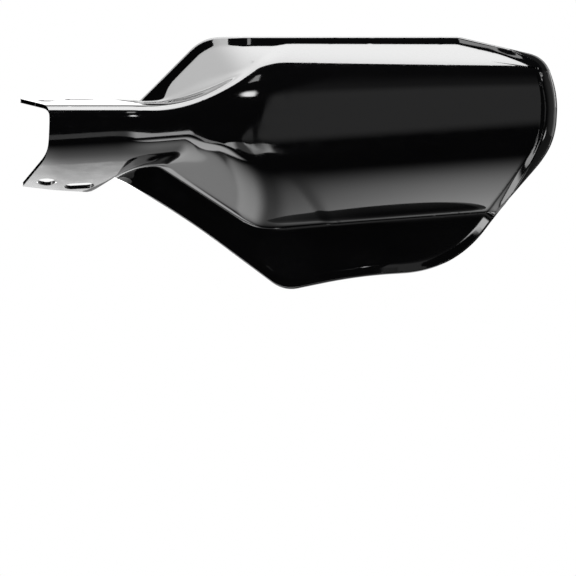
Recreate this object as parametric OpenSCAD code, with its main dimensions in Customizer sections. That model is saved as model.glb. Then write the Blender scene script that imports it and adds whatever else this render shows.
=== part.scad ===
// Motorcycle hand guard: one thin gloss black moulding that shields the hand on one side of the bar.
// Built in millimetres. The neck's middle line runs along X, -Y is the wind side and +Z is up.
// The outline is drawn in the moulding view: x along the neck and h the height seen by the tool.
// The finished part is moved so that the upper bolt hole is the origin.

/* [Wall] */
// Thickness of the moulded wall
wall = 2.3; // [2:0.1:2.8]
// Lean of the moulding direction against the upper flange, the draft that frees the flange
draft = 5.3; // [4.5:0.1:6.5]
// Small rounding where the lip's face turns into its cut edge
edge_round = 0.9; // [0.4:0.1:1.3]

/* [Neck] */
// Height of the upper flange above the neck's middle line
neck_top = 13.6; // [12.6:0.1:14.6]
// Depth of the lower corner of the neck below the middle line
neck_bottom = 17.6; // [16.5:0.1:18.6]
// Fall of the lower flange towards the rear, in degrees
lower_fall = 25.5; // [22:0.5:28]
// Distance over which the neck's front blends into its flanges
crown_blend = 14; // [12:0.5:15]
// How far the neck's front reaches past the bolt holes
end_reach = 2.2; // [1:0.2:4]
// Slant of the neck's end cut, in degrees from square
end_slant = 18.5; // [16:0.1:21]
// Lean of the end cut along the neck for each millimetre of height
end_tilt = 0.04; // [0:0.01:0.08]
// Rise of the lower corner between the end and the waist
waist_rise = 2.2; // [1.2:0.1:3]

/* [Flanges] */
// Rim of the upper flange behind its bolt hole
upper_hole_rim = 12; // [10:0.5:14]
// Rim of the upper flange behind its slot
upper_slot_rim = 6.5; // [5:0.5:8]
// Rim of the lower flange behind its bolt hole and slot
lower_rim = 4.4; // [3.8:0.2:5]
// Distance of the deepest place of the rear edges from the bolt holes, along the neck
pad_x = 24; // [21:0.5:27]
// Rounding of the rear edge beside the slot
pad_round = 6; // [5:0.5:8]
// Depth at which the rear edges meet the wing
join_depth = 36; // [34:0.5:38]

/* [Holes] */
// Bore for the mirror stem or perch bolt
bolt_d = 10.2; // [8:0.1:11]
// Distance of the bolt holes behind the neck's front
bolt_depth = 37.3; // [35:0.1:39]
// Width of the adjusting slots
slot_w = 8.8; // [7:0.1:10]
// Length of the adjusting slots over their round ends
slot_len = 16.5; // [14:0.5:19]
// Distance from a bolt hole to the middle of its slot, along the neck
slot_x = 17.9; // [16.5:0.1:20]
// Distance of the slots behind the bolt holes
slot_back = 8.2; // [6.5:0.1:8.4]

/* [Wing outline] */
// Where the upper edge of the wing leaves the neck
top_start = 51.5; // [49:0.2:54]
// Where the sloping upper edge becomes level
top_corner = 86.6; // [82:0.5:90]
// Height of the level upper edge
wing_top = 51.7; // [48:0.1:55]
// Where the upper edge starts to fall at the outer end
top_end = 226.6; // [220:0.5:232]
// Reach of the outer end
reach = 280.6; // [276:0.2:286]
// Height of the upper outer corner
outer_high = 40.3; // [37:0.1:43]
// Height of the widest place of the outer end
outer_mid = 21.7; // [17:0.2:25]
// Height at which the outer end turns in
outer_low = -8.9; // [-13:0.5:-6]
// Distance to the bend where the crease meets the outer edge
heel_x = 250.8; // [246:0.5:255]
// Height of that bend
heel_h = -41.9; // [-45:0.2:-39]
// Distance to the lower outer corner
toe_x = 223.6; // [219:0.5:228]
// Height of the lower outer corner
toe_h = -77.4; // [-80:0.5:-74]
// Distance to the shallow bend of the lower edge
sole_x = 175.1; // [170:0.5:180]
// Height of that shallow bend
sole_h = -79.2; // [-82:0.5:-78]
// Distance to the lowest point of the skirt
keel_x = 130.9; // [127:0.2:135]
// Height of the lowest point before its rounding
keel_h = -88.2; // [-92:0.2:-85]
// Distance to the bend of the lower inner edge
shin_x = 76.6; // [73:0.5:80]
// Height of that bend
shin_h = -47.7; // [-50:0.2:-45]
// Where the lower edge of the wing leaves the neck
low_start = 37.1; // [35:0.1:39]
// Height at which it leaves the neck
low_start_h = -25.5; // [-27:0.1:-24]

/* [Wing panels] */
// How far the barrel's face stands in front of the neck
face_out = 13; // [10:0.5:16]
// Upward lean of the barrel's face, in degrees
face_lean = 2; // [0:0.2:4]
// Upward lean of the top panel, in degrees
top_lean = 56; // [53:0.5:59]
// Depth of the top panel's rear edge
top_depth = 10; // [8:0.5:12]
// Radius of the barrel's underside
under_r = 73; // [69:0.5:78]
// Depth of the crease under the barrel
crease_depth = 8; // [6:0.5:9]
// Height of the crease at its inner end
crease_h = -53; // [-55:0.2:-51]
// Rise of the crease for each millimetre towards the outer end
crease_rise = 0.075; // [0.05:0.005:0.095]
// Downward lean of the underside at the crease, in degrees
under_lean = 46; // [44:0.5:48]
// Upward lean of the skirt at the outer end, in degrees
skirt_lean = 29; // [26:0.5:31]
// Upward lean of the skirt at the inner end, in degrees
skirt_lean_in = 14; // [10:0.5:18]

/* [Blends] */
// Blend between the barrel's face and the top panel
top_blend = 13; // [10:0.5:15]
// Blend between the barrel's face and its underside
under_blend = 10; // [7:0.5:13]
// Blend of the two inner side walls into the barrel
wall_blend = 9; // [7:0.5:11]
// Hollow blend where the neck runs into the side walls
valley_blend = 2.5; // [1.8:0.1:4]
// Extra hollow blend where the neck flares out
valley_more = 6; // [4:0.5:7]
// Hollow blend along the crease
crease_blend = 4.5; // [3:0.1:6]
// Width of the flat lip round the wing
lip_w = 5.1; // [4.4:0.1:5.8]
// Extra width of the lip at the outer end
lip_more = 3.1; // [2:0.1:4]
// Hollow blend between the lip and the panels
lip_blend = 1.6; // [1.3:0.1:2.4]
// Radius of the roll at the outer end's lip
end_roll = 7.6; // [6:0.1:8.6]
// Backward lean of the lip along the top, in degrees
lip_back = 26; // [20:1:30]
// Forward lean of the lip at the outer end, in degrees
lip_proud = 12; // [6:1:15]

/* [Hidden] */
black_plastic = [0.02, 0.02, 0.022];
// directions of the moulding view
rise = cos(draft);
lean = sin(draft);
// flare of the neck into the barrel: start, end and blend along x
flare = [50, 115, 14];
// growth of the flare above and below the neck: start along x and curvature
flare_up = [55, 0.0065];
flare_down = [85, 0.008];
// rise of the neck's lower corner: start, end and blend along x
waist = [5, 40, 8];
// where the extra hollow blend grows along x and where it fades out again
valley_at = [62, 87, 88, 115];
// where the crease has its stated height and the skirt's lean changes, along x
crease_x = 120;
skirt_change = [110, 190];
// the side walls between neck and barrel: direction they face and a point of each in the moulding view
upper_wall_n = [-0.595, -0.696, 0.401];
upper_wall_at = [54.7, 18.7, 34];
lower_wall_n = [-0.452, -0.730, -0.514];
lower_wall_at = [115.2, crease_h, crease_depth];
// drop of the top panel's rear edge below the top of the wing
top_drop = 3.8;
// the skirt turns back towards the neck: start along x, curvature and blend
skirt_turn = [62, 0.034, 8];
// depth at which the flange starts behind the neck's front
flange_depth = 8;
end_rate = tan(end_slant);
fall_rate = tan(lower_fall);
// depths between which the surface is looked for, and how often that stretch is halved
solve_from = -40;
solve_to = 80;
solve_steps = 20;

// smooth minimum and maximum of two distances, equal to the plain ones outside the blend
function soft_min(a, b, k) = let (t = max(k - abs(a - b), 0) / k) min(a, b) - t * t * t * k / 6;
function soft_max(a, b, k) = -soft_min(-a, -b, k);
function soft_ramp(x, x0, x1, k) = (soft_max(x - x0, 0, k) - soft_max(x - x1, 0, k)) / (x1 - x0);
function ease(t) = let (c = max(0, min(1, t))) c * c * (3 - 2 * c);

// the direction a panel faces and a point given in the moulding view as x, height and depth
function facing(up) = [0, -cos(up), sin(up)];
function in_view(v) = [v[0], v[2], (v[1] - v[2] * lean) / rise];

// distance of a point in front of each panel
top_at = in_view([0, wing_top - top_drop, top_depth]);
function top_panel(p) = (p - top_at) * facing(top_lean);
crease_at = in_view([0, crease_h, crease_depth]);
under_axis = [crease_at[1] + under_r * cos(under_lean), crease_at[2] + under_r * sin(under_lean)];
function creased(p) = p[2] - crease_rise * (p[0] - crease_x);
function underside(p) = norm([p[1] - under_axis[0], creased(p) - under_axis[1]]) - under_r;
function face(p) = (p - [0, -face_out - 1, 0]) * facing(face_lean);

// the neck: front, upper flange and lower flange blended into one channel that flares into the barrel
function neck_low(x) = waist_rise * soft_ramp(x, waist[0], waist[1], waist[2]) - neck_bottom
    - flare_down[1] * pow(max(x - flare_down[0], 0), 2);
function neck(p) =
    let (front = -0.98 * (p[1] + face_out * soft_ramp(p[0], flare[0], flare[1], flare[2])),
         high = p[2] - neck_top - flare_up[1] * pow(max(p[0] - flare_up[0], 0), 2),
         low = (neck_low(p[0]) - p[2]) * cos(lower_fall) - (p[1] - flange_depth) * sin(lower_fall),
         channel = soft_max(soft_max(front, low, crown_blend), high, crown_blend))
    soft_max(soft_max(channel, top_panel(p), top_blend), underside(p), wall_blend);

// the barrel of the wing with its two inner side walls
function barrel(p) =
    let (round = soft_max(face(p), underside(p), under_blend),
         capped = soft_max(round, top_panel(p), top_blend),
         upper = soft_max(capped, (p - in_view(upper_wall_at)) * upper_wall_n, wall_blend))
    soft_max(upper, (p - in_view(lower_wall_at)) * lower_wall_n, wall_blend);

// the skirt under the crease
function skirt(p) =
    let (far = ease((p[0] - skirt_change[0]) / (skirt_change[1] - skirt_change[0])),
         angle = skirt_lean_in + (skirt_lean - skirt_lean_in) * far)
    ([0, p[1], creased(p)] - crease_at) * facing(angle)
        + skirt_turn[1] * pow(soft_max(skirt_turn[0] - p[0], 0, skirt_turn[2]), 2);

// outline of the wing from the upper to the lower end of the neck: corners with their rounding
wing_corners = [
    [top_start, rise * neck_top + lean * join_depth, 0],
    [top_corner, wing_top, 24],
    [top_end, wing_top, 12],
    [reach - 6.6, outer_high, 16],
    [reach + 0.4, outer_mid, 83],
    [reach - 1.3, outer_low, 43],
    [heel_x, heel_h, 60],
    [toe_x, toe_h, 61],
    [sole_x, sole_h, 275],
    [keel_x, keel_h, 19],
    [shin_x, shin_h, 540],
    [low_start + 6.3, low_start_h - 2.7, 20],
    [low_start, low_start_h, 0]
];
function turn(i) =
    let (c = wing_corners[i], p = [c[0], c[1]],
         u = [wing_corners[i - 1][0], wing_corners[i - 1][1]] - p,
         v = [wing_corners[i + 1][0], wing_corners[i + 1][1]] - p,
         half = acos(u * v / norm(u) / norm(v)) / 2,
         d = min(c[2] / tan(half), 0.65 * norm(u), 0.65 * norm(v)),
         a = p + u * d / norm(u), b = p + v * d / norm(v))
    [for (t = [0 : 1 / 7 : 1.001]) (1 - t) * (1 - t) * a + 2 * t * (1 - t) * p + t * t * b];
last_corner = len(wing_corners) - 1;
outline = [
    [wing_corners[0][0], wing_corners[0][1]],
    for (i = [1 : last_corner - 1]) each turn(i),
    [wing_corners[last_corner][0], wing_corners[last_corner][1]]
];

// distance from the wing's outline and the direction inward from it
function turned_in(e) = [e[1], -e[0]] / norm(e);
inward = [
    for (i = [0 : len(outline) - 1])
        turned_in(outline[min(i + 1, len(outline) - 1)] - outline[max(i - 1, 0)])
];
function edge_gap(p, i) =
    let (a = outline[i], e = outline[i + 1] - a, t = max(0, min(1, (p - a) * e / (e * e))),
         n = inward[i] * (1 - t) + inward[i + 1] * t)
    [norm(p - a - t * e), n[0] / norm(n), n[1] / norm(n)];
function nearest(gaps) = let (m = min([for (g = gaps) g[0]])) [for (g = gaps) if (g[0] == m) g][0];
function edge_near(p) = nearest([for (i = [0 : len(outline) - 2]) edge_gap(p, i)]);

function valley(x) = valley_blend + valley_more * ease((x - valley_at[0]) / (valley_at[1] - valley_at[0]))
    * (1 - ease((x - valley_at[2]) / (valley_at[3] - valley_at[2])));

// depth of the outer surface at a place of the moulding view; the lip is the panel held level to the edge, with its own lean
function in_front(x, h, xw, hw, y) =
    let (p = [x, y, (h - lean * y) / rise], q = [xw, y, (hw - lean * y) / rise])
    soft_min(soft_min(barrel(q), skirt(q), crease_blend), neck(p), valley(x));
function solve(x, h, xw, hw, lo, hi, n) =
    let (mid = (lo + hi) / 2)
    n == 0 ? mid
    : in_front(x, h, xw, hw, mid) > 0 ? solve(x, h, xw, hw, mid, hi, n - 1)
    : solve(x, h, xw, hw, lo, mid, n - 1);
function lip_width(x) = lip_w * soft_ramp(x, low_start, low_start + 14, 4)
    + lip_more * soft_ramp(x, reach - 32, reach - 10, 6);
function sag(r, d) = let (t = max(0, min(r - d, r * 0.96))) r - sqrt(r * r - t * t);
function skin_at(x, h) =
    let (e = edge_near([x, h]),
         push = soft_max(lip_width(x) - e[0], 0, lip_blend),
         y = solve(x, h, x + push * e[1], h + push * e[2], solve_from, solve_to, solve_steps),
         roll = max(0.01, end_roll * soft_ramp(x, reach - 26, reach - 8, 6)),
         tip = tan(lip_back) * max(-e[2], 0) - tan(lip_proud) * max(-e[1], 0),
         base = y + push * tip + sag(roll, e[0]))
    [[x, base, (h - lean * base) / rise], e[0]];

// rear edge of the flanges and the upper and lower ends of the columns
function rear(x, join) =
    let (upper = join == top_start,
         beside_hole = bolt_depth + bolt_d / 2 + (upper ? upper_hole_rim : lower_rim),
         pad = bolt_depth + slot_back + slot_w / 2 + (upper ? upper_slot_rim : lower_rim),
         rate = (pad - beside_hole) / pad_x, fall = (pad - join_depth) / (join - pad_x))
    -soft_max(-(pad + rate * (x - pad_x)), -(pad - fall * (x - pad_x)), pad_round);
upper_edge = [for (p = outline) if (p[1] > 0 && p[0] <= reach - 12) p];
lower_line = [for (p = outline) if (p[1] < -20 && p[0] < toe_x + 14) p];
lower_edge = [for (i = [len(lower_line) - 1 : -1 : 0]) lower_line[i]];
first_turn = upper_edge[len(upper_edge) - 1];
last_turn = lower_edge[len(lower_edge) - 1];
right_line = [for (p = outline) if (p[0] > first_turn[0] || (p[0] > last_turn[0] && p[1] < 0)) p];
right_edge = [
    [last_turn[1], last_turn[0]],
    for (i = [len(right_line) - 1 : -1 : 0]) [right_line[i][1], right_line[i][0]],
    [first_turn[1], first_turn[0]]
];
function low_plane(x, y) = neck_low(x) - (y - flange_depth) * fall_rate;
function high_end(x) = x < top_start
    ? rise * neck_top + lean * rear(x, top_start)
    : lookup(x, upper_edge);
function low_end(x) = x < low_start
    ? let (y = rear(x, low_start)) rise * low_plane(x, y) + lean * y
    : lookup(x, lower_edge);

// rows follow these lines: lip, top fold, under fold, crease and lip again
crease_line = [[-20, -17], [30, -15], [50, -22.5], [115.2, crease_h], [reach, crease_h + crease_rise * (reach - crease_x)]];
function lines(x) =
    let (t = high_end(x), b = low_end(x), w = ease((x - 40) / 60), v = ease((x - 60) / 60),
         crease = max(lookup(x, crease_line), b + 3))
    [t, t - (0.8 + 4.2 * w), (11 + 8 * v), (-10.5 - 10 * v), crease, b + min(5 * w + 1, (crease - b) / 3), b];
row_counts = [3, 8, 6, 9, 6, 3];
function row_levels(k) = [
    for (s = [0 : len(row_counts) - 1]) for (i = [0 : row_counts[s] - 1])
        k[s] + (k[s + 1] - k[s]) * i / row_counts[s],
    k[len(row_counts)]
];
rows = len(row_levels(lines(0)));

// columns: the neck, the flare and the level middle; then the outer end as a patch between four edges
middle_end = 214;
x_stations = [
    for (x = [end_reach : 5 : 33]) x,
    for (x = [36 : 2.6 : 60]) x,
    for (x = [62 : 4 : 122]) x,
    for (x = [128 : 8 : middle_end - 4]) x
];
end_fade = 30;
neck_section = [for (h = row_levels(lines(end_reach))) skin_at(end_reach, h)[0][1]];
function column(x) = [
    for (j = [0 : rows - 1])
        let (shift = (1 - ease((x - end_reach) / end_fade))
            * (end_tilt * row_levels(lines(x))[j] - end_rate * neck_section[j]))
        [x + shift, row_levels(lines(x + shift))[j]]
];
middle = [for (h = row_levels(lines(middle_end))) [middle_end, h]];
right_levels = row_levels([first_turn[1], first_turn[1] - 5, 19, -20.5, heel_h + 1, last_turn[1] + 4, last_turn[1]]);
right_side = [for (h = right_levels) [lookup(h, right_edge), h]];
share = [for (j = [0 : rows - 1]) (middle[0][1] - middle[j][1]) / (middle[0][1] - middle[rows - 1][1])];
function patch(u) =
    let (xt = middle_end + u * (first_turn[0] - middle_end), xb = middle_end + u * (last_turn[0] - middle_end),
         up = [xt, lookup(xt, upper_edge)] - (1 - u) * middle[0] - u * right_side[0],
         dn = [xb, lookup(xb, lower_edge)] - (1 - u) * middle[rows - 1] - u * right_side[rows - 1])
    [for (j = [0 : rows - 1]) (1 - u) * middle[j] + u * right_side[j] + (1 - share[j]) * up + share[j] * dn];
patch_steps = [0, 0.14, 0.28, 0.42, 0.55, 0.66, 0.75, 0.82, 0.87, 0.91, 0.94, 0.965, 0.985, 1];

places = [for (x = x_stations) column(x), for (u = patch_steps) patch(u)];
columns = len(places);
solved = [for (c = places) [for (q = c) skin_at(q[0], q[1])]];
function at(i, j) = solved[max(0, min(columns - 1, i))][max(0, min(rows - 1, j))][0];
function normal_at(i, j) =
    let (n = cross(at(i, j + 1) - at(i, j - 1), at(i + 1, j) - at(i - 1, j)))
    n / norm(n);

// outer skin with its small edge rounding and inner skin one wall behind it
function outer(i, j) = let (s = solved[i][j]) s[0] + [0, s[0][0] > low_start ? sag(edge_round, s[1]) : 0, 0];
outer_skin = [for (i = [0 : columns - 1]) for (j = [0 : rows - 1]) outer(i, j)];
inner_skin = [for (i = [0 : columns - 1]) for (j = [0 : rows - 1]) at(i, j) - wall * normal_at(i, j)];
count = rows * columns;
function spot(i, j) = i * rows + j;
// each square is split along the diagonal whose ends face alike, so that folds stay sharp
function split(a, b, c, d, along) = along
    ? [[a, b, c], [a, c, d], [a + count, c + count, b + count], [a + count, d + count, c + count]]
    : [[a, b, d], [b, c, d], [a + count, d + count, b + count], [b + count, d + count, c + count]];
skin_faces = [
    for (i = [0 : columns - 2]) for (j = [0 : rows - 2])
        let (a = spot(i, j), b = spot(i + 1, j), c = spot(i + 1, j + 1), d = spot(i, j + 1))
        each split(a, b, c, d, normal_at(i, j) * normal_at(i + 1, j + 1)
            >= normal_at(i + 1, j) * normal_at(i, j + 1))
];
border = [
    for (i = [0 : columns - 2]) spot(i, 0),
    for (j = [0 : rows - 2]) spot(columns - 1, j),
    for (i = [columns - 1 : -1 : 1]) spot(i, rows - 1),
    for (j = [rows - 1 : -1 : 1]) spot(0, j)
];
rim_faces = [
    for (n = [0 : len(border) - 1])
        let (a = border[n], b = border[(n + 1) % len(border)])
        each [[a, a + count, b], [b, a + count, b + count]]
];

module shell() {
    polyhedron(points = concat(outer_skin, inner_skin), faces = concat(skin_faces, rim_faces), convexity = 12);
}

// a bolt hole and its slot, drilled square to a flange lying flat
module hole_pair() {
    cylinder(d = bolt_d, h = 4 * wall, center = true, $fn = 64);
    slot_ends = (slot_len - slot_w) / 2;
    for (side = [-1, 1]) {
        translate([slot_x + side * slot_ends, slot_back, 0])
            cylinder(d = slot_w, h = 4 * wall, center = true, $fn = 64);
    }
    translate([slot_x - slot_ends, slot_back - slot_w / 2, -2 * wall])
        cube([2 * slot_ends, slot_w, 4 * wall]);
}

module guard_shell() {
    color(black_plastic)
        translate([0, -bolt_depth, wall / 2 - neck_top])
            difference() {
                shell();
                translate([0, bolt_depth, neck_top])
                    hole_pair();
                translate([0, bolt_depth, low_plane(0, bolt_depth)])
                    rotate([-lower_fall, 0, 0])
                        hole_pair();
            }
}

guard_shell();
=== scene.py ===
"""Motorcycle hand guard: one gloss black moulding on its CAD frame, photographed on white.

The shell is worked out again from the panels and sizes of the CAD source, on a finer mesh.
Sizes are in millimetres until the mesh is made; the scene itself is in metres.
"""
import math

import bpy
import numpy as np
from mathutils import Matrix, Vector


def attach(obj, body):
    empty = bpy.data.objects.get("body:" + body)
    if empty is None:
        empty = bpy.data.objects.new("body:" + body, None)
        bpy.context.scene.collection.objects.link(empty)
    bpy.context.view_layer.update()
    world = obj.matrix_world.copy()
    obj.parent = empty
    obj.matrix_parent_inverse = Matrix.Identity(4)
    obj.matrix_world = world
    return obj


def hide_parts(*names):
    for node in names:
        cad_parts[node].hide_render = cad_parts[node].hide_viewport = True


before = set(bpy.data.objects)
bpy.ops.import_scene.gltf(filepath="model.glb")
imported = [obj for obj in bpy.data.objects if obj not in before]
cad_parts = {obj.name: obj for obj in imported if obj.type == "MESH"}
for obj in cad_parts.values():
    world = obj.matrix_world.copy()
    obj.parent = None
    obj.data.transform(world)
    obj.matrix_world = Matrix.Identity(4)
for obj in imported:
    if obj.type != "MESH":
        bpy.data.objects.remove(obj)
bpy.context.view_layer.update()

# Wall, and the moulding direction that frees the upper flange
WALL = 2.3
EDGE_ROUND = 0.9
DRAFT = math.radians(5.3)
RISE, LEAN = math.cos(DRAFT), math.sin(DRAFT)

# Neck: heights of its two flanges, the blend to its front, its end cut and its waist
NECK_TOP, NECK_BOTTOM = 13.6, 17.6
LOWER_FALL = math.radians(25.5)
FLANGE_DEPTH = 8.0
CROWN_BLEND = 14.0
END_REACH, END_RATE, END_TILT, END_FADE = 2.2, math.tan(math.radians(18.5)), 0.04, 30.0
WAIST_RISE, WAIST = 2.2, (5.0, 40.0, 8.0)

# Holes of the flanges, and the rims behind them
BOLT_D, BOLT_DEPTH = 10.2, 37.3
SLOT_W, SLOT_LEN, SLOT_X, SLOT_BACK = 8.8, 16.5, 17.9, 8.2
HOLE_BEVEL, DRILL_REACH = 0.3, 4.0
UPPER_HOLE_RIM, UPPER_SLOT_RIM, LOWER_RIM = 12.0, 6.5, 4.4
PAD_X, PAD_ROUND, JOIN_DEPTH = 24.0, 6.0, 36.0

# Flare from neck to barrel: start, end and blend; then start and curve above and below
FACE_OUT, FLARE, FLARE_COSINE = 13.0, (50.0, 115.0, 14.0), 0.98
FLARE_UP, FLARE_DOWN = (55.0, 0.0065), (85.0, 0.008)

# Barrel: its face, top panel, underside and the two side walls that lead to the neck
FACE_LEAN, FACE_AHEAD = 2.0, 1.0
WING_TOP, TOP_DROP, TOP_LEAN, TOP_DEPTH = 51.7, 3.8, 56.0, 10.0
UNDER_R, UNDER_LEAN = 73.0, math.radians(46.0)
CREASE_DEPTH, CREASE_H, CREASE_AT_X, CREASE_RISE = 8.0, -53.0, 120.0, 0.075
TOP_BLEND, UNDER_BLEND, WALL_BLEND, CREASE_BLEND = 13.0, 10.0, 9.0, 4.5
UPPER_WALL_N, UPPER_WALL_AT = (-0.595, -0.696, 0.401), (54.7, 18.7, 34.0)
LOWER_WALL_N, LOWER_WALL_AT = (-0.452, -0.730, -0.514), (115.2, CREASE_H, CREASE_DEPTH)

# Valley between neck and wing: its blend, what is added to it and where that comes and goes
VALLEY_BLEND, VALLEY_MORE, VALLEY_AT = 2.5, 6.0, (62.0, 87.0, 88.0, 115.0)

# Skirt: lean near the neck and further out, where it changes, and its turn towards the neck
SKIRT_LEAN, SKIRT_CHANGE, SKIRT_TURN = (14.0, 29.0), (110.0, 190.0), (62.0, 0.034, 8.0)

# Lip: width and its gain at the outer end, slopes that roll it back or let it stand proud
LIP_W, LIP_MORE, LIP_BLEND = 5.1, 3.1, 1.6
LIP_BACK, LIP_PROUD = math.tan(math.radians(26)), math.tan(math.radians(12))
LIP_START, LIP_GAIN = (14.0, 4.0), (32.0, 10.0, 6.0)
END_ROLL, ROLL_GAIN, ROLL_LEAST = 7.6, (26.0, 8.0, 6.0), 0.01

# Outline of the wing in the moulding view: x, height and rounding of each corner
TOP_START, LOW_START, REACH = 51.5, 37.1, 280.6
TOE_X, TOE_H = 223.6, -77.4
WING_CORNERS = [
    (TOP_START, RISE * NECK_TOP + LEAN * JOIN_DEPTH, 0),
    (86.6, WING_TOP, 24),
    (226.6, WING_TOP, 12),
    (REACH - 6.6, 40.3, 16),
    (REACH + 0.4, 21.7, 83),
    (REACH - 1.3, -8.9, 43),
    (250.8, -41.9, 60),
    (TOE_X, TOE_H, 61),
    (175.1, -79.2, 275),
    (130.9, -88.2, 19),
    (76.6, -47.7, 540),
    (43.4, -28.2, 20),
    (LOW_START, -25.5, 0),
]
CORNER_STEPS, CORNER_SHARE = 20, 0.65

# Mesh: columns run down the guard, closer where it bends, and rows close up at both edges
ROWS, FINE_ROWS = 190, 900
RIM_STEPS = [0, 0.12, 0.3, 0.5, 0.75, 1.05]
END_STEPS = [0, 0.15, 0.4, 0.8]
MIDDLE_END = 214.0
COLUMNS = [(END_REACH + 1.6, 33, 1.5), (33, 36, 1.0), (36, 66, 0.75), (66, 125, 1.25), (125, MIDDLE_END, 1.9)]
OUTER_COLUMNS, TURN_BACK, TOE_BEYOND, BELOW_NECK = (1.5, 12, 0.6, 1.6), 12.0, 14.0, -20.0
NEAREST, FARTHEST, HALVINGS = -40.0, 80.0, 27
EDGE_REACH, SLOPE_STEP, SLOPE_INSET = 0.05, 0.02, 0.06
CROWN_STEPS, CROWN_HEIGHT, CROWN_POWER, CROWN_TURN = (0.12, 0.3, 0.5, 0.7, 0.88), 0.25, 0.6, 0.8

# The frame: the upper bolt hole is the origin
ORIGIN = np.array([0, BOLT_DEPTH, NECK_TOP - WALL / 2])
SCALE = 0.001


# Rounded blends
def soft_min(a, b, k):
    """Smaller of two distances with a rounded blend of width k."""
    t = np.maximum(k - np.abs(a - b), 0) / k
    return np.minimum(a, b) - t**3 * k / 6


def soft_max(a, b, k):
    """Larger of two distances with a rounded blend of width k."""
    return -soft_min(-a, -b, k)


def soft_ramp(x, start, end, k):
    """Straight rise from 0 to 1 between start and end, rounded at both."""
    return (soft_max(x - start, 0, k) - soft_max(x - end, 0, k)) / (end - start)


def ease(t):
    """Smooth rise from 0 to 1 while t goes from 0 to 1."""
    t = np.clip(t, 0, 1)
    return t * t * (3 - 2 * t)


# Panels of the moulding: each gives the distance in front of it
def facing(up):
    """Direction of a panel that faces the wind and leans up by so many degrees."""
    up = math.radians(up)
    return (0.0, -math.cos(up), math.sin(up))


def in_view(x, height, depth):
    """Point given in the moulding view."""
    return (x, depth, (height - depth * LEAN) / RISE)


def panel(p, at, normal):
    return sum((p[k] - at[k]) * normal[k] for k in range(3))


TOP_AT = in_view(0, WING_TOP - TOP_DROP, TOP_DEPTH)
CREASE_AT = in_view(0, CREASE_H, CREASE_DEPTH)
UNDER_AXIS = (
    CREASE_AT[1] + UNDER_R * math.cos(UNDER_LEAN),
    CREASE_AT[2] + UNDER_R * math.sin(UNDER_LEAN),
)


def top_panel(p):
    return panel(p, TOP_AT, facing(TOP_LEAN))


def below(p):
    """The place moved down as far as the crease rises there, which tilts what is built on it."""
    return (p[0], p[1], p[2] - CREASE_RISE * (p[0] - CREASE_AT_X))


def underside(p):
    p = below(p)
    return np.hypot(p[1] - UNDER_AXIS[0], p[2] - UNDER_AXIS[1]) - UNDER_R


def neck_low(x):
    """Height of the lower corner of the neck."""
    start, curve = FLARE_DOWN
    return WAIST_RISE * soft_ramp(x, *WAIST) - NECK_BOTTOM - curve * np.maximum(x - start, 0) ** 2


def neck(p):
    x, y, z = p
    start, curve = FLARE_UP
    front = -FLARE_COSINE * (y + FACE_OUT * soft_ramp(x, *FLARE))
    high = z - NECK_TOP - curve * np.maximum(x - start, 0) ** 2
    low = (neck_low(x) - z) * math.cos(LOWER_FALL) - (y - FLANGE_DEPTH) * math.sin(LOWER_FALL)
    channel = soft_max(soft_max(front, low, CROWN_BLEND), high, CROWN_BLEND)
    return soft_max(soft_max(channel, top_panel(p), TOP_BLEND), underside(p), WALL_BLEND)


def barrel(p):
    face = panel(p, (0, -FACE_OUT - FACE_AHEAD, 0), facing(FACE_LEAN))
    capped = soft_max(soft_max(face, underside(p), UNDER_BLEND), top_panel(p), TOP_BLEND)
    upper = soft_max(capped, panel(p, in_view(*UPPER_WALL_AT), UPPER_WALL_N), WALL_BLEND)
    return soft_max(upper, panel(p, in_view(*LOWER_WALL_AT), LOWER_WALL_N), WALL_BLEND)


def skirt(p):
    start, curve, blend = SKIRT_TURN
    q = below(p)
    out = ease((q[0] - SKIRT_CHANGE[0]) / (SKIRT_CHANGE[1] - SKIRT_CHANGE[0]))
    lean = np.radians(SKIRT_LEAN[0] + (SKIRT_LEAN[1] - SKIRT_LEAN[0]) * out)
    ahead = -(q[1] - CREASE_AT[1]) - np.tan(lean) * (CREASE_AT[2] - q[2])
    return ahead * np.cos(lean) + curve * soft_max(start - p[0], 0, blend) ** 2


# Outline and lip
def round_corners(corners, steps):
    """The outline with each corner turned along a parabola."""
    line = [np.array(corners[0][:2])]
    for before, corner, after in zip(corners, corners[1:], corners[2:]):
        c = np.array(corner[:2])
        u, v = np.array(before[:2]) - c, np.array(after[:2]) - c
        lu, lv = np.linalg.norm(u), np.linalg.norm(v)
        half = math.acos(u @ v / lu / lv) / 2
        d = min(corner[2] / math.tan(half), CORNER_SHARE * lu, CORNER_SHARE * lv)
        a, b = c + u * d / lu, c + v * d / lv
        for t in np.linspace(0, 1, steps):
            line.append((1 - t) ** 2 * a + 2 * t * (1 - t) * c + t * t * b)
    line.append(np.array(corners[-1][:2]))
    return np.array(line)


def turned_in(e):
    """Direction inward from an edge of the outline, which runs clockwise."""
    return np.array([e[1], -e[0]]) / math.hypot(*e)


outline = round_corners([tuple(float(v) for v in c) for c in WING_CORNERS], CORNER_STEPS)
inward = [turned_in(outline[min(i + 1, len(outline) - 1)] - outline[max(i - 1, 0)])
          for i in range(len(outline))]
upper_edge = outline[(outline[:, 1] > 0) & (outline[:, 0] <= REACH - TURN_BACK)]
lower_edge = outline[(outline[:, 1] < BELOW_NECK) & (outline[:, 0] < TOE_X + TOE_BEYOND)][::-1]


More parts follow.
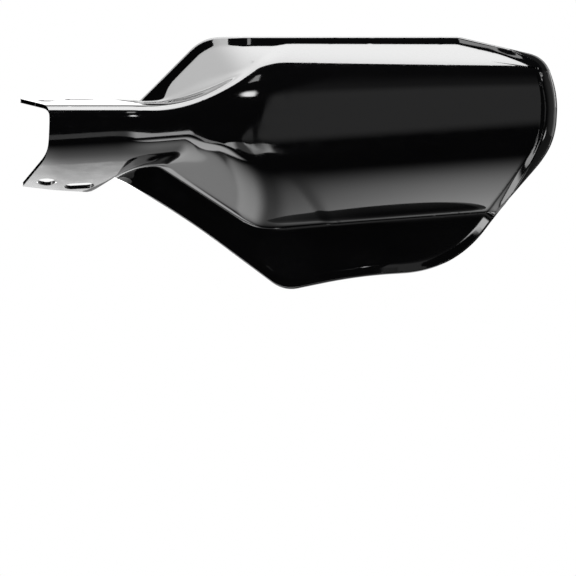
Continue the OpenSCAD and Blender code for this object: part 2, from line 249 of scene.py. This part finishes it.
def edge_near(x, h):
    """Distance inside the outline and the direction inward from it."""
    best, signed = np.full(x.shape, 1e9), np.full(x.shape, 1e9)
    away = np.zeros((2,) + x.shape)
    for a, b, na, nb in zip(outline[:-1], outline[1:], inward[:-1], inward[1:]):
        e = b - a
        t = np.clip(((x - a[0]) * e[0] + (h - a[1]) * e[1]) / (e @ e), 0, 1)
        dx, dh = x - a[0] - t * e[0], h - a[1] - t * e[1]
        d = np.hypot(dx, dh)
        near = d < best
        best = np.where(near, d, best)
        here = np.stack([na[k] * (1 - t) + nb[k] * t for k in (0, 1)])
        outside = (d < EDGE_REACH) & (dx * here[0] + dh * here[1] < 0)
        signed = np.where(near, np.where(outside, -d, d), signed)
        away = np.where(near, here, away)
    return signed, away / np.hypot(*away)


def sag(r, d):
    """How far a rounding of radius r has dropped back at distance d from its edge."""
    t = np.clip(r - d, 0, r * 0.96)
    return r - np.sqrt(r * r - t * t)


def in_front(x, h, xw, hw, y):
    """Distance in front of the skin; the wing is read at a place of its own, which makes the lip."""
    p = (x, y, (h - LEAN * y) / RISE)
    q = (xw, y, (hw - LEAN * y) / RISE)
    wing = soft_min(barrel(q), skirt(q), CREASE_BLEND)
    come, full, still, gone = VALLEY_AT
    share = ease((x - come) / (full - come)) * (1 - ease((x - still) / (gone - still)))
    return soft_min(wing, neck(p), VALLEY_BLEND + VALLEY_MORE * share)


def depth_at(x, h, slant=0.0, rounded=False):
    """Depth of the outer skin; with a slant the place moves along x by -slant times the depth."""
    gap, away = edge_near(x, h)
    width = LIP_W * soft_ramp(x, LOW_START, LOW_START + LIP_START[0], LIP_START[1])
    width = width + LIP_MORE * soft_ramp(x, REACH - LIP_GAIN[0], REACH - LIP_GAIN[1], LIP_GAIN[2])
    push = soft_max(width - gap, 0, LIP_BLEND)
    low, high = np.full(x.shape, NEAREST), np.full(x.shape, FARTHEST)
    for _ in range(HALVINGS):
        y = (low + high) / 2
        at = x - slant * y
        outside = in_front(at, h, at + push * away[0], h + push * away[1], y) > 0
        low, high = np.where(outside, y, low), np.where(outside, high, y)
    roll = END_ROLL * soft_ramp(x, REACH - ROLL_GAIN[0], REACH - ROLL_GAIN[1], ROLL_GAIN[2])
    lip = LIP_BACK * np.maximum(-away[1], 0) - LIP_PROUD * np.maximum(-away[0], 0)
    y = (low + high) / 2 + push * lip + sag(np.maximum(ROLL_LEAST, roll), gap)
    if rounded:
        y = y + np.where(x > LOW_START, sag(EDGE_ROUND, gap), 0)
    return y


def place(x, h, y):
    return np.stack([x, y, (h - LEAN * y) / RISE], -1)


def skin_normal(x, h, rounded):
    """Direction that the skin faces, from its slope at the place itself."""
    gap, away = edge_near(x, h)
    inset = np.maximum(SLOPE_INSET - gap, 0)
    x, h = x + inset * away[0], h + inset * away[1]
    side = [depth_at(x + s * SLOPE_STEP, h, rounded=rounded) for s in (-1, 1)]
    up = [depth_at(x, h + s * SLOPE_STEP, rounded=rounded) for s in (-1, 1)]
    along = place(x + SLOPE_STEP, h, side[1]) - place(x - SLOPE_STEP, h, side[0])
    rising = place(x, h + SLOPE_STEP, up[1]) - place(x, h - SLOPE_STEP, up[0])
    n = np.cross(rising, along)
    return -n / np.linalg.norm(n, axis=-1, keepdims=True)


# Rear edges of the flanges, and where the columns of the mesh end
def rear(x, join):
    """Depth of a flange's rear edge."""
    upper = join == TOP_START
    beside_hole = BOLT_DEPTH + BOLT_D / 2 + (UPPER_HOLE_RIM if upper else LOWER_RIM)
    pad = BOLT_DEPTH + SLOT_BACK + SLOT_W / 2 + (UPPER_SLOT_RIM if upper else LOWER_RIM)
    rate = (pad - beside_hole) / PAD_X
    fall = (pad - JOIN_DEPTH) / (join - PAD_X)
    return -soft_max(-(pad + rate * (x - PAD_X)), -(pad - fall * (x - PAD_X)), PAD_ROUND)


def low_plane(x, y):
    """Height of the lower flange."""
    return neck_low(x) - (y - FLANGE_DEPTH) * math.tan(LOWER_FALL)


def rear_depth(c, slant, join):
    """Depth at which a slanted column meets the rear edge, drawn closer round by round."""
    y = JOIN_DEPTH
    for _ in range(60):
        y = 0.5 * y + 0.5 * float(rear(c - slant * y, join))
    return y


def column_ends(c, slant):
    """Heights between which a column of the mesh runs."""
    if c < TOP_START:
        high = RISE * NECK_TOP + LEAN * rear_depth(c, slant, TOP_START)
    else:
        high = float(np.interp(c, upper_edge[:, 0], upper_edge[:, 1]))
    if c < LOW_START:
        y = rear_depth(c, slant, LOW_START)
        low = RISE * float(low_plane(c - slant * y, y)) + LEAN * y
    else:
        low = float(np.interp(c, lower_edge[:, 0], lower_edge[:, 1]))
    return high, low


def spread(length, count):
    """Places along a length: close together at both edges and even between."""
    edge = np.array(RIM_STEPS)
    inner = np.linspace(edge[-1], length - edge[-1], count - 2 * len(edge) + 2)
    return np.concatenate([edge[:-1], inner, (length - edge[:-1])[::-1]])


def inner_columns():
    """Columns from the neck's end to the middle part of the wing, each a list of x and height."""
    stations = np.concatenate([END_REACH + np.array(END_STEPS)]
                              + [np.arange(*spacing) for spacing in COLUMNS] + [[MIDDLE_END]])
    slants = END_RATE * (1 - ease((stations - END_REACH) / END_FADE))
    tilt = END_TILT / END_RATE * slants
    tops, lows = np.array([column_ends(c, float(s)) for c, s in zip(stations, slants)]).T
    t = np.linspace(0, 1, FINE_ROWS)
    h = tops[:, None] * (1 - t) + lows[:, None] * t
    slant = np.repeat(slants[:, None], FINE_ROWS, 1)
    x = stations[:, None] + tilt[:, None] * h
    y = depth_at(x, h, slant)
    lengths = np.linalg.norm(np.diff(place(x - slant * y, h, y), axis=1), axis=-1)
    run = np.concatenate([np.zeros((len(stations), 1)), np.cumsum(lengths, 1)], 1)
    columns = []
    for i, station in enumerate(stations):
        levels = np.interp(spread(run[i, -1], ROWS), run[i], h[i])
        levels[0], levels[-1] = tops[i], lows[i]
        xs = station + tilt[i] * levels
        columns.append(np.stack([xs - slants[i] * depth_at(xs, levels, slants[i]), levels], 1))
    return columns


def outer_columns(middle):
    """Columns that turn step by step from the last straight one into the outline's outer end."""
    first_turn, last_turn = upper_edge[-1], lower_edge[-1]
    past_top = outline[:, 0] >= first_turn[0] - 1e-6
    past_toe = (outline[:, 0] >= last_turn[0] - 1e-6) & (outline[:, 1] < 0)
    end = outline[past_top | past_toe]
    run = np.concatenate([[0], np.cumsum(np.linalg.norm(np.diff(end, axis=0), axis=1))])
    at = spread(run[-1], ROWS)
    outer = np.stack([np.interp(at, run, end[:, k]) for k in (0, 1)], 1)
    share = ((middle[0, 1] - middle[:, 1]) / (middle[0, 1] - middle[-1, 1]))[:, None]
    width = REACH - MIDDLE_END
    near, far, close, wide = OUTER_COLUMNS
    inset = np.concatenate([RIM_STEPS, np.arange(near, far, close), np.arange(far, width - 1, wide)])
    columns = []
    for u in 1 - inset[::-1] / width:
        shifts = []
        for turn, edge, j in ((first_turn, upper_edge, 0), (last_turn, lower_edge, -1)):
            x = MIDDLE_END + u * (turn[0] - MIDDLE_END)
            on_edge = np.array([x, np.interp(x, edge[:, 0], edge[:, 1])])
            shifts.append(on_edge - (1 - u) * middle[j] - u * outer[j])
        columns.append((1 - u) * middle + u * outer + (1 - share) * shifts[0] + share * shifts[1])
    return columns


# Shell and holes
def skin_faces(spots, normals):
    """Two triangles a square, split along the diagonal whose ends face alike, so that folds stay sharp."""
    a, b, c, d = (spots[:-1, :-1].ravel(), spots[1:, :-1].ravel(),
                  spots[1:, 1:].ravel(), spots[:-1, 1:].ravel())
    along = (normals[a] * normals[c]).sum(1) >= (normals[b] * normals[d]).sum(1)
    first = np.where(along[:, None], np.stack([a, c, b], 1), np.stack([a, d, b], 1))
    second = np.where(along[:, None], np.stack([a, d, c], 1), np.stack([b, d, c], 1))
    return np.concatenate([first, second])


def build_shell():
    """Points, faces and the direction each point faces, in mm."""
    columns = inner_columns()
    grid = np.array(columns + outer_columns(columns[-1]))
    x, h = grid[..., 0], grid[..., 1]
    outer = place(x, h, depth_at(x, h, rounded=True))
    base_n = skin_normal(x, h, False)
    inner = place(x, h, depth_at(x, h)) - WALL * base_n
    points = [outer.reshape(-1, 3), inner.reshape(-1, 3)]
    normals = [skin_normal(x, h, True).reshape(-1, 3), -base_n.reshape(-1, 3)]
    count = x.size
    spots = np.arange(count).reshape(x.shape)
    skin = skin_faces(spots, normals[0])
    faces = [skin, skin[:, ::-1] + count]
    border = np.concatenate([spots[:-1, 0], spots[-1, :-1], spots[:0:-1, -1], spots[0, :0:-1]])
    # the cut edge is slightly crowned
    edge_out, edge_in = points[0][border], points[1][border]
    tangent = np.roll(edge_out, -1, 0) - np.roll(edge_out, 1, 0)
    outward = np.cross(tangent, edge_out - edge_in)
    outward /= np.linalg.norm(outward, axis=1, keepdims=True)
    lean = (edge_in - edge_out) / np.linalg.norm(edge_in - edge_out, axis=1, keepdims=True)
    rings = [border]
    total = 2 * count
    for f in CROWN_STEPS:
        bulge = CROWN_HEIGHT * math.sin(math.pi * f) ** CROWN_POWER
        points.append(edge_out * (1 - f) + edge_in * f + outward * bulge)
        tilt = outward + lean * (f - 0.5) * CROWN_TURN
        normals.append(tilt / np.linalg.norm(tilt, axis=1, keepdims=True))
        rings.append(np.arange(total, total + len(border)))
        total += len(border)
    rings.append(border + count)
    for r0, r1 in zip(rings, rings[1:]):
        s0, s1 = np.roll(r0, -1), np.roll(r1, -1)
        faces += [np.stack([r0, s0, r1], 1), np.stack([s0, s1, r1], 1)]
    return np.concatenate(points), np.concatenate(faces), np.concatenate(normals)


def mesh_object(name, points, faces):
    mesh = bpy.data.meshes.new(name)
    mesh.from_pydata([tuple(map(float, p)) for p in points], [], [tuple(map(int, f)) for f in faces])
    mesh.update()
    obj = bpy.data.objects.new(name, mesh)
    bpy.context.scene.collection.objects.link(obj)
    return obj


def stadium(r, half, steps=40):
    """Outline of a slot with round ends; with no half length it is a circle."""
    if half == 0:
        turns = np.linspace(0, 2 * math.pi, 2 * steps, endpoint=False)
        return [(r * math.cos(t), r * math.sin(t)) for t in turns]
    line = []
    for side in (1, -1):
        for t in np.linspace(-math.pi / 2, math.pi / 2, steps):
            line.append((side * (half + r * math.cos(t)), side * r * math.sin(t)))
    return line


def drill(r, half, centre, tilt):
    """Cutter for a hole or slot, with a fine bevel where it meets each face of the flange."""
    face, past = WALL / 2, WALL / 2 - HOLE_BEVEL
    levels = [(DRILL_REACH, HOLE_BEVEL), (face, HOLE_BEVEL), (past, 0),
              (-past, 0), (-face, HOLE_BEVEL), (-DRILL_REACH, HOLE_BEVEL)]
    points, faces = [], []
    for z, more in levels:
        for u, v in stadium(r + more, half):
            points.append((centre[0] + u,
                           centre[1] + v * math.cos(tilt) + z * math.sin(tilt),
                           centre[2] - v * math.sin(tilt) + z * math.cos(tilt)))
    n = len(points) // len(levels)
    for k in range(len(levels) - 1):
        for i in range(n):
            a, b = k * n + i, k * n + (i + 1) % n
            faces.append((a, a + n, b + n, b))
    faces.append(tuple(range(n)))
    faces.append(tuple(range(len(points) - 1, len(points) - n - 1, -1)))
    return mesh_object("cutter", (np.array(points) - ORIGIN) * SCALE, faces)


def face_normals(mesh, points, normals):
    """Gives each corner the moulding's own direction; new corners at the holes keep their face's."""
    known = {tuple(np.round(p * 1e7).astype(int)): n for p, n in zip(points, normals)}
    mesh.polygons.foreach_set("use_smooth", [True] * len(mesh.polygons))
    mesh.update()
    found = [known.get(tuple(np.round(np.array(v.co) * 1e7).astype(int))) for v in mesh.vertices]
    corners = np.zeros((len(mesh.loops), 3))
    for face in mesh.polygons:
        n = np.array(face.normal)
        for k in face.loop_indices:
            own = found[mesh.loops[k].vertex_index]
            corners[k] = n if own is None else own
    mesh.normals_split_custom_set([tuple(c) for c in corners])


def make_guard():
    """The moulding with a bolt hole and a slot cut through each flange."""
    points, faces, normals = build_shell()
    guard = mesh_object("guard_moulding", (points - ORIGIN) * SCALE, faces)
    bpy.context.view_layer.objects.active = guard
    low_level = float(low_plane(0.0, BOLT_DEPTH)) + WALL / 2 / math.cos(LOWER_FALL)
    for level, tilt in ((NECK_TOP - WALL / 2, 0.0), (low_level, LOWER_FALL)):
        for r, half, along, back in ((BOLT_D / 2, 0, 0, 0),
                                     (SLOT_W / 2, (SLOT_LEN - SLOT_W) / 2, SLOT_X, SLOT_BACK)):
            centre = (along, BOLT_DEPTH + back * math.cos(tilt), level - back * math.sin(tilt))
            cutter = drill(r, half, centre, tilt)
            cut = guard.modifiers.new("hole", "BOOLEAN")
            cut.operation = "DIFFERENCE"
            cut.object = cutter
            cut.solver = "MANIFOLD"
            bpy.ops.object.modifier_apply(modifier=cut.name)
            bpy.data.objects.remove(cutter)
    face_normals(guard.data, (points - ORIGIN) * SCALE, normals)
    return guard


# Finish
SMOOTH = {"interpolation_type": "SMOOTHSTEP"}
PLUS, MINUS, TIMES = {"operation": "ADD"}, {"operation": "SUBTRACT"}, {"operation": "MULTIPLY"}
LARGER, POWER = {"operation": "MAXIMUM"}, {"operation": "POWER"}
UNSIGNED, ROOT, ACROSS = {"operation": "ABSOLUTE"}, {"operation": "SQRT"}, {"operation": "DOT_PRODUCT"}


def linear(code):
    """Linear colour of an sRGB hex value."""
    parts = [int(code[k:k + 2], 16) / 255 for k in (1, 3, 5)]
    return [c / 12.92 if c <= 0.04045 else ((c + 0.055) / 1.055) ** 2.4 for c in parts] + [1.0]


def add_node(tree, kind, settings=None, *ordered, **named):
    """Adds a node with its settings; an input takes a value, a socket or another node's first output."""
    node = tree.nodes.new("ShaderNode" + kind)
    for name, value in (settings or {}).items():
        setattr(node, name, value)
    inputs = list(enumerate(ordered)) + [(name.replace("_", " "), value) for name, value in named.items()]
    for key, value in inputs:
        source = value.outputs[0] if isinstance(value, bpy.types.Node) else value
        if isinstance(source, bpy.types.NodeSocket):
            tree.links.new(source, node.inputs[key])
        else:
            node.inputs[key].default_value = source
    return node


def new_material(name):
    material = bpy.data.materials.new(name)
    material.use_nodes = True
    material.node_tree.nodes.clear()
    return material, material.node_tree


def pattern_scale(size_mm):
    """Scale of a pattern whose patches are so many millimetres wide."""
    return 1 / (size_mm * SCALE)


# sizes in mm: marks of the flow of the melt, patches of haze, waves of shrinkage and their height
FLOW_MARK, HAZE_PATCH, SINK_WAVE, SINK_DEPTH = 100 / 9, 50 / 7, 200 / 11, 0.012


def gloss_black_abs():
    """ABS dyed black and moulded in a polished tool, so it mirrors its surroundings clearly."""
    material, tree = new_material("gloss_black_abs")
    spot = add_node(tree, "TexCoord").outputs["Object"]
    # dye drawn out along the flow of the melt: a barely uneven black, longer along the neck
    along = add_node(tree, "Mapping", None, Vector=spot, Scale=(0.3, 1.0, 1.0))
    flow = add_node(tree, "TexNoise", None, Vector=along, Scale=pattern_scale(FLOW_MARK), Detail=3.0)
    black = add_node(tree, "Mix", {"data_type": "RGBA"}, flow)
    black.inputs[6].default_value = linear("#080809")
    black.inputs[7].default_value = linear("#0d0d0e")
    # wiping and handling leave fine hazy patches: reflections soften a little from place to place
    haze = add_node(tree, "TexNoise", None, Vector=spot, Scale=pattern_scale(HAZE_PATCH), Detail=5.0)
    haze = add_node(tree, "MapRange", SMOOTH, haze, 0.35, 0.7, 0.04, 0.075)
    # shrinkage of the wall as it cools: shallow waves that bend straight reflections slightly
    waves = add_node(tree, "TexNoise", None, Vector=spot, Scale=pattern_scale(SINK_WAVE), Detail=1.0)
    waves = add_node(tree, "Bump", None, Height=waves, Strength=1.0, Distance=SINK_DEPTH * SCALE)
    shader = add_node(tree, "BsdfPrincipled", None, Base_Color=black.outputs[2],
                      Roughness=haze, IOR=1.53, Normal=waves)
    add_node(tree, "OutputMaterial", None, shader)
    return material


guard = make_guard()
guard.data.materials.clear()
guard.data.materials.append(gloss_black_abs())
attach(guard, "root")
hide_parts("guard_shell")

# Camera: it looks along the moulding direction, and its pixels give the size of the view
MM_PER_PIXEL, BOLT_PIXEL, CENTRE_LINE, PIXELS = 0.55, 45.6, 131.0, 576
VIEW_DEPTH, CAMERA_DISTANCE, SENSOR, FAR_END = 5.0, 6.0, 36, 50


def set_camera():
    view_x = (PIXELS / 2 - BOLT_PIXEL) * MM_PER_PIXEL
    view_h = (CENTRE_LINE - PIXELS / 2) * MM_PER_PIXEL
    target = Vector((np.array(in_view(view_x, view_h, VIEW_DEPTH)) - ORIGIN) * SCALE)
    camera = bpy.data.objects.new("camera", bpy.data.cameras.new("camera"))
    bpy.context.scene.collection.objects.link(camera)
    camera.data.sensor_width = SENSOR
    camera.data.lens = SENSOR * CAMERA_DISTANCE / (PIXELS * MM_PER_PIXEL * SCALE)
    camera.data.clip_end = FAR_END
    camera.location = target + CAMERA_DISTANCE * Vector((0, -RISE, LEAN))
    camera.rotation_euler = (math.pi / 2 - DRAFT, 0, 0)
    bpy.context.scene.camera = camera


set_camera()

# Studio, in metres: boards, flags and lights stand round this middle of the guard
MIDDLE = Vector((0.14, -0.03, -0.02))
BAND_ROWS, RIM_POINTS, FADE_FROM = 12, 32, 0.25
FLOOR_HALF, FLOOR_LEVEL, BOARD_LEVEL, CEILING = 4, -1.2, -0.6, 1.0


def towards(left, up):
    """Direction given as degrees to the left of the camera's side and degrees upward."""
    left, up = math.radians(left), math.radians(up)
    return Vector((-math.sin(left) * math.cos(up), -math.cos(left) * math.cos(up), math.sin(up)))


def card(name, points, glow, faces=None):
    """A reflector or flag that only the gloss sees; its glow is a number or a pattern over its place."""
    obj = mesh_object(name, points, faces or [tuple(range(len(points)))])
    material, tree = new_material(name)
    if callable(glow):
        glow = glow(tree, add_node(tree, "NewGeometry").outputs["Position"])
    light = add_node(tree, "Emission", None, Color=linear("#ffffff"), Strength=glow)
    add_node(tree, "OutputMaterial", None, light)
    obj.data.materials.append(material)
    obj.visible_camera = obj.visible_diffuse = obj.visible_shadow = False
    obj.visible_transmission = obj.visible_volume_scatter = False


def band(name, stops, distance, glow):
    """Curved card round the guard; each stop is an angle to the left and its lower and upper angle."""
    points, faces = [], []
    for left, low, high in stops:
        for j in range(BAND_ROWS + 1):
            points.append(MIDDLE + distance * towards(left, low + (high - low) * j / BAND_ROWS))
    for i in range(len(stops) - 1):
        for j in range(BAND_ROWS):
            k = i * (BAND_ROWS + 1) + j
            faces.append((k, k + 1, k + BAND_ROWS + 2, k + BAND_ROWS + 1))
    card(name, points, glow, faces)


def round_light(name, direction, distance, radius, radiance, tall=1.0):
    """Small round or upright oval softbox that fades towards its rim."""
    way = towards(*direction)
    middle = MIDDLE + way * distance
    side = way.cross(Vector((0, 0, 1))).normalized()
    up = side.cross(way)
    turns = [2 * math.pi * k / RIM_POINTS for k in range(RIM_POINTS)]
    points = [middle + radius * (math.cos(t) * side + math.sin(t) * tall * up) for t in turns]

    def fading(tree, at):
        offset = add_node(tree, "VectorMath", MINUS, at, tuple(middle))
        parts = [add_node(tree, "VectorMath", ACROSS, offset, tuple(part)).outputs["Value"]
                 for part in (side, up / tall)]
        squares = [add_node(tree, "Math", TIMES, part, part) for part in parts]
        away = add_node(tree, "Math", ROOT, add_node(tree, "Math", PLUS, *squares))
        return add_node(tree, "MapRange", SMOOTH, away, radius * FADE_FROM, radius, radiance, 0.0)
    card(name, points, fading)


def surround_glow(tree, at):
    """Black cloth that picks up a little light towards the right."""
    x = add_node(tree, "SeparateXYZ", None, at).outputs["X"]
    return add_node(tree, "MapRange", SMOOTH, x, 0.9, 2.9, 0.0, 0.4)


def front_glow(tree, at):
    """Dim gray wall behind the camera: it ends low down and fades out upward."""
    z = add_node(tree, "SeparateXYZ", None, at).outputs["Z"]
    lower = add_node(tree, "MapRange", SMOOTH, z, -0.37, -0.17, 0.0, 1.0)
    strong = add_node(tree, "MapRange", SMOOTH, z, 0.7, 1.2, 0.26, 0.0)
    faint = add_node(tree, "MapRange", SMOOTH, z, 0.9, 2.1, 0.14, 0.0)
    return add_node(tree, "Math", TIMES, lower, add_node(tree, "Math", PLUS, strong, faint))


def ceiling_glow(tree, at):
    """The overhead diffuser, brightest above the guard."""
    at = add_node(tree, "SeparateXYZ", None, at).outputs
    across = add_node(tree, "MapRange", SMOOTH, at["X"], -1.9, 0.0, 8.5, 14.6)
    behind = add_node(tree, "MapRange", SMOOTH, at["Y"], 0.0, 0.9, 1.0, 0.45)
    return add_node(tree, "Math", TIMES, across, behind)


def wedge_glow(tree, at):
    """The low board on the left: bright at its tip and on the left, in shade between and at its end."""
    x = add_node(tree, "SeparateXYZ", None, at).outputs["X"]
    start = add_node(tree, "MapRange", SMOOTH, x, 0.05, 0.065, 0.0, 4.5)
    stop = add_node(tree, "MapRange", SMOOTH, x, 0.075, 0.095, 1.0, 0.0)
    tip = add_node(tree, "Math", TIMES, start, stop)
    left = add_node(tree, "MapRange", SMOOTH, x, -0.45, -0.12, 5.6, 0.7)
    shade = add_node(tree, "MapRange", SMOOTH, x, -1.0, -0.75, -2.8, 0.0)
    return add_node(tree, "Math", PLUS, tip, add_node(tree, "Math", PLUS, left, shade))


def floor_glow(tree, at):
    """Two white boards on the floor with a dark gap between them and a shadow in the middle."""
    at = add_node(tree, "SeparateXYZ", None, at).outputs
    x, y = at["X"], at["Y"]
    rise = add_node(tree, "MapRange", SMOOTH, y, -1.15, 0.05, 0.0, 1.0)
    rise = add_node(tree, "Math", POWER, rise, 1.5)
    level = add_node(tree, "MapRange", SMOOTH, y, 0.05, 0.3, 4.3, 4.4)
    right = add_node(tree, "Math", TIMES, rise, level)
    aside = add_node(tree, "Math", UNSIGNED, add_node(tree, "Math", MINUS, x, 0.07))
    shadow = add_node(tree, "MapRange", SMOOTH, aside, 0.02, 0.24, 0.2, 1.0)
    right = add_node(tree, "Math", TIMES, right, shadow)
    # the gap between the boards runs off to the right towards the camera
    forward = add_node(tree, "Math", LARGER, add_node(tree, "Math", MINUS, -0.4, y), 0.0)
    gap = add_node(tree, "Math", TIMES, forward, 0.42)
    beyond = add_node(tree, "Math", MINUS, add_node(tree, "Math", PLUS, x, 0.37), gap)
    dark = add_node(tree, "MapRange", SMOOTH, beyond, 0.0, 0.08, 0.05, 1.0)
    ends = add_node(tree, "MapRange", SMOOTH, y, -0.3, -0.1, 0.0, 0.7)
    right = add_node(tree, "Math", TIMES, right, add_node(tree, "Math", LARGER, dark, ends))
    side = add_node(tree, "MapRange", SMOOTH, beyond, -0.06, -0.02, 6.8, 0.0)
    left = add_node(tree, "Math", TIMES, side,
                    add_node(tree, "MapRange", SMOOTH, y, -1.15, -0.8, 0.0, 1.0))
    back = add_node(tree, "MapRange", SMOOTH, y, 0.505, 0.63, 0.0, 12.5)
    return add_node(tree, "Math", PLUS, add_node(tree, "Math", PLUS, left, right), back)


def build_set():
    """The set that the gloss mirrors: black cloth, gray wall, white boards, flags and small lights."""
    band("black_surround", [(left, -24, 90) for left in range(-100, 81, 6)], 2.6, surround_glow)
    band("gray_front_wall", [(left, -9, 66) for left in (-9, -6, -3, 0, 2.4)], 2.4, front_glow)
    band("left_wedge_board", [(1.2, -14, -8), (10, -18, -9), (20, -25, -11), (30, -32, -16),
                              (40, -38, -12), (50, -43, -8)], 2.3, wedge_glow)
    band("back_board", [(left, -2, 13) for left in range(130, 231, 10)], 2.2, 2.6)
    band("right_back_flag", [(left, 32, 84) for left in range(-190, -99, 10)], 2.5, 0.1)
    card("lip_board", [(-0.11, -0.68, 0.73), (-0.035, -0.68, 0.73),
                       (-0.035, -0.52, 0.88), (-0.11, -0.52, 0.88)], 4.5)
    card("skirt_flag", [(-0.03, -0.33, 0.03), (0.11, -0.33, 0.03),
                        (0.11, -0.33, 0.125), (-0.03, -0.33, 0.125)], 0.0)
    card("right_low_flag", [(0.36, -0.9, -0.35), (1.1, -0.9, -0.35),
                            (1.1, 0.7, -0.35), (0.36, 0.7, -0.35)], 0.12)
    band("right_high_board", [(-16, 46, 60), (-30, 46, 62), (-48, 48, 64)], 2.4, 4.5)
    round_light("upper_left_light", (13, 25.5), 2.3, 0.15, 17, 1.9)
    round_light("right_low_light", (-27, -17), 2.3, 0.28, 9)
    round_light("upper_right_light", (-19, 40), 2.3, 0.25, 9)
    diffuser = [(0.34, -0.13), (-0.15, -0.16), (-0.4, -0.31), (-1.0, -0.4), (-1.5, -0.72),
                (-2.0, -0.75), (-2.0, 1.3), (0.34, 1.3)]
    card("overhead_diffuser", [(x, y, CEILING) for x, y in diffuser], ceiling_glow)
    boards = [(-1.2, -1.5), (1.2, -1.5), (1.2, 1.2), (-1.2, 1.2)]
    card("floor_boards", [(x, y, BOARD_LEVEL) for x, y in boards], floor_glow)


def seen_directly(tree):
    """1 for what the camera, the gloss or a clear material sees, and 0 for light that falls on things."""
    path = add_node(tree, "LightPath").outputs
    seen = add_node(tree, "Math", LARGER, path["Is Camera Ray"], path["Is Glossy Ray"])
    return add_node(tree, "Math", LARGER, seen, path["Is Transmission Ray"])


def white_world():
    """White for the eye and for the gloss, plain and even for everything else."""
    world = bpy.data.worlds.new("white_studio")
    bpy.context.scene.world = world
    world.use_nodes = True
    tree = world.node_tree
    tree.nodes.clear()
    strength = add_node(tree, "MapRange", SMOOTH, seen_directly(tree), 0.0, 1.0, 0.5, 1.0)
    sky = add_node(tree, "Background", None, Color=linear("#ffffff"), Strength=strength)
    add_node(tree, "OutputWorld", None, sky)


def overhead_softbox():
    """Plain soft light from above, for what is not gloss."""
    data = bpy.data.lights.new("overhead_softbox", "AREA")
    data.shape = "RECTANGLE"
    data.size, data.size_y = 1.4, 1.2
    data.energy = 12
    lamp = bpy.data.objects.new("overhead_softbox", data)
    bpy.context.scene.collection.objects.link(lamp)
    lamp.location = (-0.2, 0.1, 1.1)
    lamp.visible_camera = lamp.visible_glossy = False


def paper_floor():
    """White paper, matt and lit where it is not seen directly."""
    corners = [(-1, -1), (1, -1), (1, 1), (-1, 1)]
    points = [(x * FLOOR_HALF, y * FLOOR_HALF, FLOOR_LEVEL) for x, y in corners]
    floor = mesh_object("studio_floor", points, [(0, 1, 2, 3)])
    material, tree = new_material("white_paper")
    seen = seen_directly(tree)
    paper = add_node(tree, "BsdfDiffuse", None, Color=linear("#f4f4f4"))
    white = add_node(tree, "Emission", None, Color=linear("#ffffff"), Strength=1.0)
    mix = add_node(tree, "MixShader", None, seen, paper, white)
    add_node(tree, "OutputMaterial", None, mix)
    floor.data.materials.append(material)


white_world()
overhead_softbox()
build_set()
paper_floor()
bpy.context.scene.view_settings.view_transform = "Standard"
